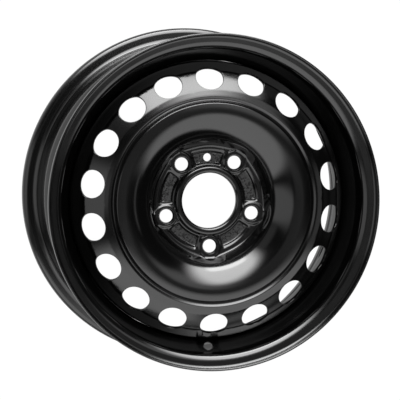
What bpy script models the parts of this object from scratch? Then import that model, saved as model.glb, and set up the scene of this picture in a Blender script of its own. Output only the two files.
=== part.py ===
"""Pressed steel car wheel, 7J x 16, five bolts on a 120 mm circle, lying on its inboard flange.

The rolled rim is a hoop with two J flanges, humped bead seats and a drop centre. The disc is
one pressing: bore collar, five coned bolt seats, pads between them that meet the hub, a dome,
a groove, a ledge, a sloping band with eighteen vent holes, and a skirt pressed into the drop
centre. Fillet welds along the skirt's edge join the two.

The axle line is Z, with the outboard face up. The origin is on it, midway between the flanges.
The valve hole is towards -Y. Run with: blender --background --python part.py
"""

import math

import bmesh
import bpy
import numpy as np
from mathutils import Matrix, Vector

MM = 0.001

# Rim: the tyre side of a 7J x 16 drop-centre contour
RIM_WIDTH = 177.8 * MM
SEAT_RADIUS = 202.8 * MM
FLANGE_HEIGHT = 17.5 * MM
FLANGE_LIP = 13.1 * MM
FLANGE_CURL_RADIUS = 9.5 * MM
HEEL_RADIUS = 6.5 * MM
SEAT_LENGTH = 18.5 * MM
SEAT_TAPER = math.radians(5)
HUMP_HEIGHT = 1.1 * MM
HUMP_RAMP = 3.2 * MM
HUMP_TOP = 3.2 * MM
HUMP_BEND = 1.5 * MM
WELL_DEPTH = 17.3 * MM
WELL_OUTER_SETBACK = 46.0 * MM
WELL_LENGTH = 42.0 * MM
WELL_OUTER_SLOPE = math.radians(48)
WELL_INNER_SLOPE = math.radians(24)
WELL_BEND = 9.0 * MM
RIM_SHEET = 2.6 * MM

# Valve hole and the flat pressed round it, in the drop centre's outboard wall
VALVE_ANGLE = math.radians(-90.7)
VALVE_HOLE = 11.5 * MM
VALVE_COINING = 1.6 * MM
VALVE_FLAT_WIDTH = 25.0 * MM
VALVE_FLAT_RAMP = 6.0 * MM
VALVE_FLAT_TURN = math.radians(12)
VALVE_FADE_START = 0.75
VALVE_FADE_END = 1.25

# Disc, from the bore outwards: heights are measured up from the hub's mounting face
HUB_OFFSET = 52.0 * MM
DISC_SHEET = 3.8 * MM
BORE = 72.6 * MM
BORE_LAND = 6.5 * MM
COLLAR_WIDTH = 8.0 * MM
COLLAR_RISE = 6.0 * MM
COLLAR_FLARE = 2.4 * MM
COLLAR_BEND = 3.0 * MM
COLLAR_FOOT_BEND = 0.5 * MM
HUB_LEVEL = 4.0 * MM
HUB_ZONE_MARGIN = 12.4 * MM
HUB_ZONE_BEND = 3.5 * MM
DOME_RISE = 37.0 * MM
DOME_WALL_SLOPE = math.radians(64)
DOME_INNER_BEND = 52.0 * MM

# Disc, from the skirt inwards: widths are measured across the radius
SKIRT_SETBACK = 72.0 * MM
SKIRT_SLOPE = math.radians(61)
SKIRT_BEND = 14.0 * MM
LEDGE_INSET = 36.1 * MM
VENT_BAND_WIDTH = 18.5 * MM
VENT_SLOPE = math.radians(41)
VENT_BEND = 18.0 * MM
LEDGE_WIDTH = 9.5 * MM
LEDGE_FALL = 2.6 * MM
LEDGE_BEND = 6.0 * MM
LEDGE_RISE = 1.8 * MM
LEDGE_RISE_WIDTH = 3.4 * MM
LEDGE_FOOT_BEND = 2.0 * MM
GROOVE_BELOW_CREST = 6.6 * MM
GROOVE_BEND = 2.5 * MM
DOME_SHOULDER = 6.6 * MM
DOME_OUTER_BEND = 9.0 * MM

# Bolt seats, pads and the locating hole
BOLTS = 5
BOLT_CIRCLE = 120.0 * MM
BOLT_HOLE = 17.4 * MM
SEAT_CONE = math.radians(60)
SEAT_LAND = 1.1 * MM
SEAT_BOSS_RADIUS = 13.2 * MM
SEAT_BOSS_RAMP = 3.2 * MM
SEAT_BOSS_RISE = 1.5 * MM
SEAT_FADE = 3.0 * MM
SEAT_WALL_FADE = 8.0 * MM
SEAT_ALCOVE = 3.4 * MM
PAD_FROM_COLLAR = 3.3 * MM
PAD_PAST_BOLTS = 2.2 * MM
PAD_RAMP = 2.4 * MM
PAD_OUTER_RAMP = 5.0 * MM
PAD_FROM_BOLT = math.radians(18)
PAD_END_RAMP = math.radians(3.6)
LOCATING_HOLE = 10.6 * MM

# Vent holes, punched square to the sloping band
VENTS = 18
VENT_HOLE = 36.6 * MM
VENT_FROM_LEDGE = 14.0 * MM

# Welds along the skirt's inboard edge
WELDS = 8
WELD_LEG = 4.5 * MM
WELD_LENGTH = 52.0 * MM
WELD_CROWN = 0.5 * MM
WELD_END_SHARE = 0.35

# Clearance that touching pieces keep, and how finely round shapes are drawn
CLEARANCE = 0.3 * MM
RIM_STEPS = 50
HOLE_STEPS = 20
WELD_STEPS = 6
BEND_TOLERANCE = 0.5 * MM
HIDDEN_BEND_TOLERANCE = 0.8 * MM
LEAST_BEND = 0.3 * MM
PUNCH_REACH = 15.0 * MM
TINY = 1e-5

FLANGE_RADIUS = SEAT_RADIUS + FLANGE_HEIGHT
WELL_RADIUS = SEAT_RADIUS - WELL_DEPTH
SKIRT_RADIUS = WELL_RADIUS - RIM_SHEET - CLEARANCE
SKIRT_EDGE = RIM_WIDTH / 2 - SKIRT_SETBACK
LEDGE_END = SKIRT_RADIUS - LEDGE_INSET
LEDGE_START = LEDGE_END - LEDGE_WIDTH
GROOVE_RADIUS = LEDGE_START - LEDGE_RISE_WIDTH
CREST_END = GROOVE_RADIUS - DOME_SHOULDER
VENT_CIRCLE_RADIUS = LEDGE_END + VENT_FROM_LEDGE

BOLT_RADIUS = BOLT_CIRCLE / 2
COLLAR_END = BORE / 2 + COLLAR_WIDTH
PAD_INNER_RADIUS = COLLAR_END + COLLAR_FLARE + PAD_FROM_COLLAR
PAD_OUTER_RADIUS = BOLT_RADIUS + PAD_PAST_BOLTS
PAD_HALF_ANGLE = math.pi / BOLTS - PAD_FROM_BOLT
HUB_ZONE_RADIUS = BOLT_RADIUS + HUB_ZONE_MARGIN
WALL_END = HUB_ZONE_RADIUS + DOME_RISE / math.tan(DOME_WALL_SLOPE)

HUB_FACE = HUB_OFFSET + DISC_SHEET + HUB_LEVEL
CREST_LEVEL = HUB_FACE + DOME_RISE
GROOVE_LEVEL = CREST_LEVEL - GROOVE_BELOW_CREST
LEDGE_LEVEL = GROOVE_LEVEL + LEDGE_RISE - LEDGE_FALL


def remove_everything():
    """Start from an empty scene."""
    for obj in list(bpy.data.objects):
        bpy.data.objects.remove(obj, do_unlink=True)


def new_collection(name):
    collection = bpy.data.collections.new(name)
    bpy.context.scene.collection.children.link(collection)
    return collection


def painted(name, colour, roughness):
    """Black paint over steel: a dark, fairly glossy dielectric."""
    material = bpy.data.materials.new(name)
    material.use_nodes = True
    shader = material.node_tree.nodes["Principled BSDF"]
    shader.inputs["Base Color"].default_value = (*colour, 1.0)
    shader.inputs["Roughness"].default_value = roughness
    shader.inputs["Metallic"].default_value = 0.0
    return material


def smoothstep(low, high, value):
    """0 below low, 1 above high, with a soft ramp between."""
    t = np.clip((value - low) / (high - low), 0.0, 1.0)
    return t * t * (3 - 2 * t)


def offset_corners(corners, distance):
    """Move a chain of (r, z, bend) corners to its right-hand side, with each bend radius to match."""
    points = [Vector(c[:2]) for c in corners]
    ways = [(b - a).normalized() for a, b in zip(points, points[1:])]
    rights = [Vector((w.y, -w.x)) for w in ways]
    moved = [(*(points[0] + rights[0] * distance), 0.0)]
    for i in range(1, len(points) - 1):
        bisector = (rights[i - 1] + rights[i]).normalized()
        spot = points[i] + bisector * (distance / bisector.dot(rights[i]))
        turn = ways[i - 1].cross(ways[i])
        bend = corners[i][2] + (distance if turn > 0 else -distance)
        moved.append((*spot, max(bend, LEAST_BEND)))
    moved.append((*(points[-1] + rights[-1] * distance), 0.0))
    return moved


def bent_path(corners, tolerance):
    """The points of a chain of corners, each rounded by an arc of its bend radius.

    An arc has as many chords as keep within the tolerance of it, and a corner whose rounding is
    finer than that stays one point.
    """
    points = [Vector(c[:2]) for c in corners]
    path = [points[0]]
    for before, corner, after, (_, _, bend) in zip(points, points[1:], points[2:], corners[1:]):
        back = (before - corner).normalized()
        ahead = (after - corner).normalized()
        half = back.angle(ahead) / 2
        reach = bend / math.tan(half)
        reach = min(reach, 0.49 * (before - corner).length, 0.49 * (after - corner).length)
        bend = reach * math.tan(half)
        if bend / math.sin(half) - bend < tolerance:
            path.append(corner)
            continue
        centre = corner + (back + ahead).normalized() * (bend / math.sin(half))
        start = corner + back * reach - centre
        end = corner + ahead * reach - centre
        turn = math.pi - 2 * half
        steps = math.ceil(turn / (2 * math.acos(max(1 - tolerance / bend, 0.5))))
        for i in range(steps + 1):
            share = i / steps
            arm = (start * math.sin((1 - share) * turn) + end * math.sin(share * turn)) / math.sin(turn)
            path.append(centre + arm)
    path.append(points[-1])
    return path


def sheet_section(corners, thickness):
    """The closed section of a bent sheet, whose other side lies to the right of its corners."""
    other = offset_corners(corners, thickness)
    return bent_path(corners, BEND_TOLERANCE) + bent_path(other, HIDDEN_BEND_TOLERANCE)[::-1]


def turned(name, section, collection, steps):
    """Revolve a closed (r, z) section about Z with a Screw modifier, and keep the result as a mesh."""
    mesh = bpy.data.meshes.new(name)
    ring = [(i, (i + 1) % len(section)) for i in range(len(section))]
    mesh.from_pydata([(p[0], 0.0, p[1]) for p in section], ring, [])
    obj = bpy.data.objects.new(name, mesh)
    collection.objects.link(obj)
    screw = obj.modifiers.new("turn", "SCREW")
    screw.steps = steps
    screw.render_steps = steps
    screw.use_merge_vertices = True
    screw.merge_threshold = TINY
    screw.use_normal_calculate = True
    graph = bpy.context.evaluated_depsgraph_get()
    solid = bpy.data.meshes.new_from_object(obj.evaluated_get(graph))
    obj.modifiers.clear()
    obj.data = solid
    bpy.data.meshes.remove(mesh)
    solid.name = name
    face_outwards(solid)
    return obj


def face_outwards(mesh):
    """Point every face of a closed mesh outwards."""
    work = bmesh.new()
    work.from_mesh(mesh)
    bmesh.ops.recalc_face_normals(work, faces=work.faces)
    if work.calc_volume(signed=True) < 0:
        bmesh.ops.reverse_faces(work, faces=work.faces)
    work.to_mesh(mesh)
    work.free()


def coordinates(mesh):
    flat = np.empty(len(mesh.vertices) * 3)
    mesh.vertices.foreach_get("co", flat)
    return flat.reshape(-1, 3)


def move_points(mesh, points):
    mesh.vertices.foreach_set("co", points.ravel())
    mesh.update()


def cut(obj, cutter):
    """Take a cutter out of an object with a live Boolean."""
    boolean = obj.modifiers.new(cutter.name, "BOOLEAN")
    boolean.operation = "DIFFERENCE"
    boolean.solver = "EXACT"
    boolean.object = cutter


def shade(obj, material):
    obj.data.materials.clear()
    obj.data.materials.append(material)
    obj.data.shade_smooth()
    obj.data.set_sharp_from_angle(angle=math.radians(40))


def as_cutter(obj):
    obj.hide_render = True
    obj.display_type = "WIRE"
    return obj


def across(angle, radius, height):
    """The point at this angle round the axle, radius from it and height."""
    return Vector((radius * math.cos(angle), radius * math.sin(angle), height))


def punch(name, collection, stations, places):
    """Round punches in one cutter: (radius, height) stations turned about each place's own Z."""
    work = bmesh.new()
    for place in places:
        for (r_low, z_low), (r_high, z_high) in zip(stations, stations[1:]):
            bmesh.ops.create_cone(
                work,
                cap_ends=True,
                segments=HOLE_STEPS,
                radius1=r_low,
                radius2=r_high,
                depth=z_high - z_low,
                matrix=place @ Matrix.Translation((0, 0, (z_low + z_high) / 2)),
            )
    mesh = bpy.data.meshes.new(name)
    bmesh.ops.remove_doubles(work, verts=work.verts, dist=TINY)
    inner = [f for f in work.faces if any(len(e.link_faces) > 2 for e in f.edges) and len(f.verts) > 4]
    bmesh.ops.delete(work, geom=inner, context="FACES_ONLY")
    work.to_mesh(mesh)
    work.free()
    face_outwards(mesh)
    obj = bpy.data.objects.new(name, mesh)
    collection.objects.link(obj)
    return as_cutter(obj)


def aimed(point, direction):
    """A frame at this point whose own Z runs along the direction."""
    return Matrix.Translation(point) @ direction.to_track_quat("Z", "Y").to_matrix().to_4x4()


def seat_chain(side):
    """Corners of one flange and bead seat, from the lip edge in to the end of the hump.

    side is 1 outboard and -1 inboard, and heights are mirrored with it.
    """
    face = RIM_WIDTH / 2
    seat_end = face - SEAT_LENGTH
    seat_end_radius = SEAT_RADIUS - SEAT_LENGTH * math.tan(SEAT_TAPER)
    hump_start = seat_end - HUMP_RAMP
    hump_radius = seat_end_radius + HUMP_HEIGHT
    return [
        (FLANGE_RADIUS, side * (face + FLANGE_LIP), 0.0),
        (FLANGE_RADIUS, side * face, FLANGE_CURL_RADIUS),
        (SEAT_RADIUS, side * face, HEEL_RADIUS),
        (seat_end_radius, side * seat_end, HUMP_BEND),
        (hump_radius, side * hump_start, HUMP_BEND),
        (hump_radius, side * (hump_start - HUMP_TOP), HUMP_BEND),
    ]


def rim_corners():
    """Tyre side of the rim, from the outboard lip down to the inboard lip."""
    floor_top = RIM_WIDTH / 2 - WELL_OUTER_SETBACK
    floor_bottom = floor_top - WELL_LENGTH
    outer, inner = seat_chain(1), seat_chain(-1)
    drop = outer[-1][0] - WELL_RADIUS
    ledge_radius = inner[-1][0] - HUMP_HEIGHT
    rise = ledge_radius - WELL_RADIUS
    return [
        *outer,
        (outer[-1][0], floor_top + drop / math.tan(WELL_OUTER_SLOPE), WELL_BEND / 2),
        (WELL_RADIUS, floor_top, WELL_BEND),
        (WELL_RADIUS, floor_bottom, WELL_BEND),
        (ledge_radius, floor_bottom - rise / math.tan(WELL_INNER_SLOPE), WELL_BEND),
        *inner[::-1],
    ]


def well_wall():
    """The drop centre's outboard wall on the air side: its middle, its way down, inwards and half length."""
    corners = rim_corners()
    top, bottom = Vector(corners[6][:2]), Vector(corners[7][:2])
    way = (bottom - top).normalized()
    inward = Vector((way.y, -way.x))
    return (top + bottom) / 2 + inward * RIM_SHEET, way, inward, (bottom - top).length / 2


def press_valve_flat(mesh):
    """Flatten the drop centre's outboard wall round the valve hole, by turning it about its middle."""
    middle, way, _, reach = well_wall()
    half_angle = VALVE_FLAT_WIDTH / 2 / middle.x
    ramp = VALVE_FLAT_RAMP / middle.x
    span = half_angle + ramp + math.tau / RIM_STEPS
    work = bmesh.new()
    work.from_mesh(mesh)
    for turn in (-half_angle - ramp, -half_angle, 0, half_angle, half_angle + ramp):
        near = set()
        for face in work.faces:
            spot = face.calc_center_median()
            aside = math.remainder(math.atan2(spot.y, spot.x) - VALVE_ANGLE, math.tau)
            along = (Vector((spot.xy.length, spot.z)) - middle).dot(way)
            if abs(aside) < span and abs(along) < VALVE_FADE_END * reach:
                near.update((face, *face.edges, *face.verts))
        side = across(VALVE_ANGLE + turn + math.pi / 2, 1, 0)
        bmesh.ops.bisect_plane(work, geom=list(near), dist=TINY, plane_co=(0, 0, 0), plane_no=side)
    work.to_mesh(mesh)
    work.free()
    points = coordinates(mesh)
    radius = np.hypot(points[:, 0], points[:, 1])
    angle = np.arctan2(points[:, 1], points[:, 0]) - VALVE_ANGLE
    angle = np.abs((angle + math.pi) % math.tau - math.pi)
    along = (radius - middle.x) * way.x + (points[:, 2] - middle.y) * way.y
    weight = 1 - smoothstep(half_angle, half_angle + ramp, angle)
    weight *= 1 - smoothstep(VALVE_FADE_START * reach, VALVE_FADE_END * reach, np.abs(along))
    points[:, 2] -= along * math.sin(VALVE_FLAT_TURN) * weight
    move_points(mesh, points)


def make_rim(parts, cutters, paint):
    """The rolled hoop, with its valve flat pressed and its valve hole punched."""
    rim = turned("drop_center_rim", sheet_section(rim_corners(), RIM_SHEET), parts, RIM_STEPS)
    press_valve_flat(rim.data)
    shade(rim, paint)
    middle, _, inward, _ = well_wall()
    inward.rotate(Matrix.Rotation(-VALVE_FLAT_TURN, 2))
    direction = across(VALVE_ANGLE, inward.x, inward.y)
    hole = VALVE_HOLE / 2
    stations = [(hole, -PUNCH_REACH), (hole, -VALVE_COINING), (hole + 2 * VALVE_COINING, VALVE_COINING)]
    place = aimed(across(VALVE_ANGLE, middle.x, middle.y), direction)
    cut(rim, punch("valve_punch", cutters, stations, [place]))
    return rim


def disc_corners():
    """Outboard side of the disc, from the bore up the collar, over the dome and down the skirt."""
    bore = BORE / 2
    top = HUB_FACE + COLLAR_RISE
    vent_end = LEDGE_END + VENT_BAND_WIDTH
    vent_end_level = LEDGE_LEVEL - VENT_BAND_WIDTH * math.tan(VENT_SLOPE)
    skirt_top = vent_end_level - (SKIRT_RADIUS - vent_end) * math.tan(SKIRT_SLOPE)
    return [
        (bore, top - COLLAR_BEND - BORE_LAND, 0.0),
        (bore, top, COLLAR_BEND),
        (COLLAR_END, top, COLLAR_BEND),
        (COLLAR_END + COLLAR_FLARE, HUB_FACE, COLLAR_FOOT_BEND),
        (HUB_ZONE_RADIUS, HUB_FACE, HUB_ZONE_BEND),
        (WALL_END, CREST_LEVEL, DOME_INNER_BEND),
        (CREST_END, CREST_LEVEL, DOME_OUTER_BEND),
        (GROOVE_RADIUS, GROOVE_LEVEL, GROOVE_BEND),
        (LEDGE_START, GROOVE_LEVEL + LEDGE_RISE, LEDGE_FOOT_BEND),
        (LEDGE_END, LEDGE_LEVEL, LEDGE_BEND),
        (vent_end, vent_end_level, VENT_BEND),
        (SKIRT_RADIUS, skirt_top, SKIRT_BEND),
        (SKIRT_RADIUS, SKIRT_EDGE, 0.0),
    ]


def hub_rings():
    """Radii at which the hub zone's level face gets a ring of points: the ends of the pads' two ramps."""
    return [PAD_INNER_RADIUS - PAD_RAMP, PAD_INNER_RADIUS, PAD_OUTER_RADIUS, PAD_OUTER_RADIUS + PAD_OUTER_RAMP]


def disc_section():
    """The closed section of the disc, with extra points along its level hub face on both sides."""
    section = sheet_section(disc_corners(), DISC_SHEET)
    full = []
    for point, after in zip(section, section[1:] + section[:1]):
        full.append(point)
        if abs(point.y - after.y) < TINY:
            low, high = sorted((point.x, after.x))
            between = [r for r in hub_rings() if low + TINY < r < high - TINY]
            full += [Vector((r, point.y)) for r in sorted(between, reverse=after.x < point.x)]
    return full


def refine_hub(mesh):
    """Halve the hub zone's steps round the axle, so its pads and seats come out round."""
    half_step = math.pi / RIM_STEPS
    work = bmesh.new()
    work.from_mesh(mesh)
    rings = []
    for edge in work.edges:
        a, b = (v.co for v in edge.verts)
        same = abs(a.z - b.z) < TINY and abs(a.xy.length - b.xy.length) < TINY
        if same and COLLAR_END < a.xy.length < HUB_ZONE_RADIUS + SEAT_BOSS_RAMP:
            rings.append(edge)
    halves = bmesh.ops.subdivide_edges(work, edges=rings, cuts=1, use_grid_fill=True)["geom_inner"]
    for vert in halves:
        if isinstance(vert, bmesh.types.BMVert):
            vert.co.xy /= math.cos(half_step)
    work.to_mesh(mesh)
    work.free()


def from_bolts(angle):
    """The angle to the nearest bolt hole, in radians."""
    pitch = math.tau / BOLTS
    return (angle + math.pi / 2 + pitch / 2) % pitch - pitch / 2


def press_hub(mesh):
    """Press the pads down, the bolt seats up and the dome's foot outwards beside each seat."""
    points = coordinates(mesh)
    radius = np.hypot(points[:, 0], points[:, 1])
    angle = np.arctan2(points[:, 1], points[:, 0])
    bolt = from_bolts(angle)
    centre = math.tau / BOLTS / 2 - np.abs(bolt)
    in_pad = smoothstep(PAD_INNER_RADIUS - PAD_RAMP, PAD_INNER_RADIUS, radius)
    in_pad *= 1 - smoothstep(PAD_OUTER_RADIUS, PAD_OUTER_RADIUS + PAD_OUTER_RAMP, radius)
    in_pad *= 1 - smoothstep(PAD_HALF_ANGLE, PAD_HALF_ANGLE + PAD_END_RAMP, centre)
    apart = np.hypot(radius * np.sin(bolt), radius * np.cos(bolt) - BOLT_RADIUS)
    on_seat = 1 - smoothstep(SEAT_BOSS_RADIUS, SEAT_BOSS_RADIUS + SEAT_BOSS_RAMP, apart)
    on_seat *= smoothstep(COLLAR_END, COLLAR_END + SEAT_FADE, radius)
    on_seat *= 1 - smoothstep(HUB_ZONE_RADIUS, HUB_ZONE_RADIUS + SEAT_WALL_FADE, radius)
    points[:, 2] += SEAT_BOSS_RISE * on_seat * (1 - in_pad) - HUB_LEVEL * in_pad
    beside = np.exp(-((bolt * BOLT_RADIUS / SEAT_BOSS_RADIUS) ** 2))
    foot = smoothstep(BOLT_RADIUS, HUB_ZONE_RADIUS - HUB_ZONE_BEND, radius)
    foot *= 1 - smoothstep(HUB_ZONE_RADIUS + HUB_ZONE_BEND, WALL_END, radius)
    grow = 1 + SEAT_ALCOVE * beside * foot / radius
    points[:, 0] *= grow
    points[:, 1] *= grow
    move_points(mesh, points)


def vent_punch(cutters):
    """Punches square to the vent band, one of them opposite the valve hole."""
    height = LEDGE_LEVEL - VENT_FROM_LEDGE * math.tan(VENT_SLOPE)
    places = []
    for i in range(VENTS):
        angle = math.pi / 2 + i * math.tau / VENTS
        direction = across(angle, math.sin(VENT_SLOPE), math.cos(VENT_SLOPE))
        places.append(aimed(across(angle, VENT_CIRCLE_RADIUS, height), direction))
    stations = [(VENT_HOLE / 2, -PUNCH_REACH), (VENT_HOLE / 2, PUNCH_REACH)]
    return punch("vent_punch", cutters, stations, places)


def bolt_punch(cutters):
    """Bolt holes that open into coned seats, one of them on the valve hole's side."""
    back = HUB_OFFSET + HUB_LEVEL + SEAT_BOSS_RISE
    hole = BOLT_HOLE / 2
    cone = 2 * DISC_SHEET
    stations = [
        (hole, -PUNCH_REACH / 2),
        (hole, SEAT_LAND),
        (hole + cone * math.tan(SEAT_CONE / 2), SEAT_LAND + cone),
    ]
    places = []
    for i in range(BOLTS):
        angle = -math.pi / 2 + i * math.tau / BOLTS
        places.append(Matrix.Translation(across(angle, BOLT_RADIUS, back)))
    return punch("bolt_punch", cutters, stations, places)


def make_disc(parts, cutters, paint):
    """The pressed disc, with every hole punched through it."""
    disc = turned("wheel_disc", disc_section(), parts, RIM_STEPS)
    refine_hub(disc.data)
    press_hub(disc.data)
    shade(disc, paint)
    cut(disc, bolt_punch(cutters))
    cut(disc, vent_punch(cutters))
    hole = LOCATING_HOLE / 2
    stations = [(hole, -PUNCH_REACH / 2), (hole, PUNCH_REACH / 2)]
    pad_middle = (PAD_INNER_RADIUS + PAD_OUTER_RADIUS) / 2
    far_pad = -math.pi / 2 + (BOLTS // 2 + 0.5) * math.tau / BOLTS
    spot = across(far_pad, pad_middle, HUB_OFFSET + DISC_SHEET / 2)
    cut(disc, punch("locating_punch", cutters, stations, [Matrix.Translation(spot)]))
    return disc


def flat_sided(radius, angle):
    """How far out a turned ring of this radius reaches at this angle, as it has RIM_STEPS flat sides."""
    side = math.tau / RIM_STEPS
    return radius * math.cos(side / 2) / math.cos(angle % side - side / 2)


def make_weld(number, parts, paint):
    """One fillet bead in the corner of the skirt's edge and the drop centre's floor."""
    root = Vector((SKIRT_RADIUS, SKIRT_EDGE - CLEARANCE))
    toe_wall = root - Vector((0, WELD_LEG))
    toe_edge = root - Vector((WELD_LEG, 0))
    bulge = (toe_wall + toe_edge) / 2 - Vector((WELD_CROWN, WELD_CROWN))
    section = [root, toe_edge, bulge, toe_wall]
    half = WELD_LENGTH / 2 / SKIRT_RADIUS
    middle = math.pi / 2 + (number - 0.5) * math.tau / WELDS
    work = bmesh.new()
    corners = [work.verts.new(across(middle - half, p.x, p.y)) for p in section]
    cap = work.faces.new(corners)
    bmesh.ops.spin(
        work, geom=[cap], cent=(0, 0, 0), axis=(0, 0, 1), angle=2 * half, steps=WELD_STEPS
    )
    for vert in work.verts:
        spot = Vector((vert.co.xy.length, vert.co.z))
        angle = math.atan2(vert.co.y, vert.co.x)
        along = abs(math.remainder(angle - middle, math.tau)) / half
        spot = root + (spot - root) * max(1 - along**4, WELD_END_SHARE)
        vert.co = across(angle, flat_sided(spot.x, angle), spot.y)
    name = f"weld_bead_{number}"
    mesh = bpy.data.meshes.new(name)
    work.to_mesh(mesh)
    work.free()
    face_outwards(mesh)
    bead = bpy.data.objects.new(name, mesh)
    parts.objects.link(bead)
    shade(bead, paint)
    return bead


def main():
    remove_everything()
    parts = new_collection("steel_wheel")
    cutters = new_collection("punches")
    rim_paint = painted("black_dip_paint_rim", (0.012, 0.012, 0.013), 0.28)
    disc_paint = painted("black_dip_paint_disc", (0.012, 0.012, 0.013), 0.30)
    weld_paint = painted("black_dip_paint_weld", (0.010, 0.010, 0.011), 0.45)
    make_rim(parts, cutters, rim_paint)
    make_disc(parts, cutters, disc_paint)
    for number in range(1, WELDS + 1):
        make_weld(number, parts, weld_paint)


main()
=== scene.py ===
"""A black pressed steel car wheel lying on its inboard flange, seen from above on white.

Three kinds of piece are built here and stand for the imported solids: the rolled rim, the pressed
disc and the weld beads that join them. Each is a surface worked out with numpy. A bent-sheet
profile is carried round the axle line, smooth weights press the pads, seats and flats into it,
and each punched hole is a patch of rings that spread from its edge to the grid around it.
Lengths are in metres, and the axle line is Z.
"""

import math

import bmesh
import bpy
import numpy as np
from bpy.props import FloatProperty, FloatVectorProperty, IntProperty, PointerProperty
from mathutils import Matrix, Vector


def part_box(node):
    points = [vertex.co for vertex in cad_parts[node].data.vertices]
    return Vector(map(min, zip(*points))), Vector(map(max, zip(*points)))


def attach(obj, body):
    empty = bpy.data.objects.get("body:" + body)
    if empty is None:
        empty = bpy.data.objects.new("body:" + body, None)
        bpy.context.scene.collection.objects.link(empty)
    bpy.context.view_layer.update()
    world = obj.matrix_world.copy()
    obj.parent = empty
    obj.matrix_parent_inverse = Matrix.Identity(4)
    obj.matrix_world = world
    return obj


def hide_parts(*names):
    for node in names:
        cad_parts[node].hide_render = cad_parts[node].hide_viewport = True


bl_info = {
    "name": "Pressed Steel Wheel",
    "version": (1, 0, 0),
    "blender": (4, 5, 0),
    "location": "View3D > Sidebar > Steel Wheel",
    "description": "Builds a pressed steel car wheel round its packed solids, with its paint and a studio",
    "category": "Add Mesh",
}

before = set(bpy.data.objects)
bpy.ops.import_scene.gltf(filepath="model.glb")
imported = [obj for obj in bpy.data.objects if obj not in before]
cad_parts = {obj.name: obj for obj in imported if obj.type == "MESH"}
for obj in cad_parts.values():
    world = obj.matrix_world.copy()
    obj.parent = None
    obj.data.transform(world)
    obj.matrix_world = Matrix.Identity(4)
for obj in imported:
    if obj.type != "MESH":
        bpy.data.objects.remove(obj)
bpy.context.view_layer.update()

MM = 0.001
DEGREE = math.tau / 360
TINY = 1e-6

# Profiles: the table's step, the least points of an arc in it, the turn that needs no arc, the
# share of a run that its two arcs may fill, the least bend, and the turn and gap between rows.
TABLE_STEP = 0.1 * MM
ARC_POINTS = 12
STRAIGHT = 0.1 * DEGREE
SHARED_RUN = 0.98
LEAST_BEND = 0.3 * MM
ARC_STEP = 15 * DEGREE
LEAST_ROW = 0.2 * MM

# Holes: Newton's steps and the most that one moves, and how rings crowd towards a hole.
NEWTON_STEPS = 14
MOST_S, MOST_V = 4 * MM, 0.05
CROWDING = 1.4
SHARP_EDGE = 52 * DEGREE

# The rim's grid round the valve hole, and its steps elsewhere.
FLAT_REACH, HOLE_REACH, FINE_TURN = 9 * DEGREE, 3.3 * DEGREE, 0.3 * DEGREE
RIM_TURN = 1.5 * DEGREE
RIM_STEP, VALVE_STEP, VALVE_REACH = 6 * MM, 1.2 * MM, 10 * MM

# The disc's windows: in from the hub zone's two edges, and inwards and outwards from the middle
# of the vents on the near and the far face. Then its steps.
HUB_INSET, HUB_OUTSET = 3.3 * MM, 0.9 * MM
VENT_NEAR, VENT_FAR = (17 * MM, 16 * MM), (19.5 * MM, 12 * MM)
NEAR_STEP, FAR_STEP, HUB_STEP = 4 * MM, 8 * MM, 1.3 * MM
LOCATING_RINGS = 16

# Weld beads: points along one, round its face and up each leg, and how far its ripples bow.
BEAD_STEPS, BEAD_ARC, BEAD_LEG = 181, 17, 3
RIPPLE_BOW = 0.8

# Paint: size and strength of the changes of gloss, height of the orange peel, and how near a
# face is to the pads' level to count as coined.
DRIFT_SIZE, DRIFT = 60 * MM, 0.15
PEEL_HEIGHT, PEEL_STRENGTH = 0.03 * MM, 0.25
COINED_REACH = 0.3 * MM

RIM_NODE = "drop_center_rim"
DISC_NODE = "wheel_disc"
WELD_NODES = sorted(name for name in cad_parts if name.startswith("weld_bead_"))
RIM_LOW, RIM_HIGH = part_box(RIM_NODE)


def linear(hex_colour):
    """Turn an sRGB hex colour into the linear RGB that shaders take."""
    parts = [int(hex_colour[i:i + 2], 16) / 255 for i in (1, 3, 5)]
    return tuple(c / 12.92 if c <= 0.04045 else ((c + 0.055) / 1.055) ** 2.4 for c in parts)


def length(name, about, millimetres):
    """A length that a user can change, given in millimetres."""
    return FloatProperty(name=name, description=about, default=millimetres * MM, unit="LENGTH", precision=5)


def angle(name, about, degrees):
    """An angle that a user can change, given in degrees."""
    return FloatProperty(name=name, description=about, default=math.radians(degrees), unit="ROTATION")


def colour(name, about, hex_colour):
    """A colour that a user can change, given as sRGB hex."""
    value = linear(hex_colour)
    return FloatVectorProperty(name=name, description=about, default=value, subtype="COLOR", size=3)


def number(name, about, value):
    """A plain number that a user can change."""
    return FloatProperty(name=name, description=about, default=value, precision=4)


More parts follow.
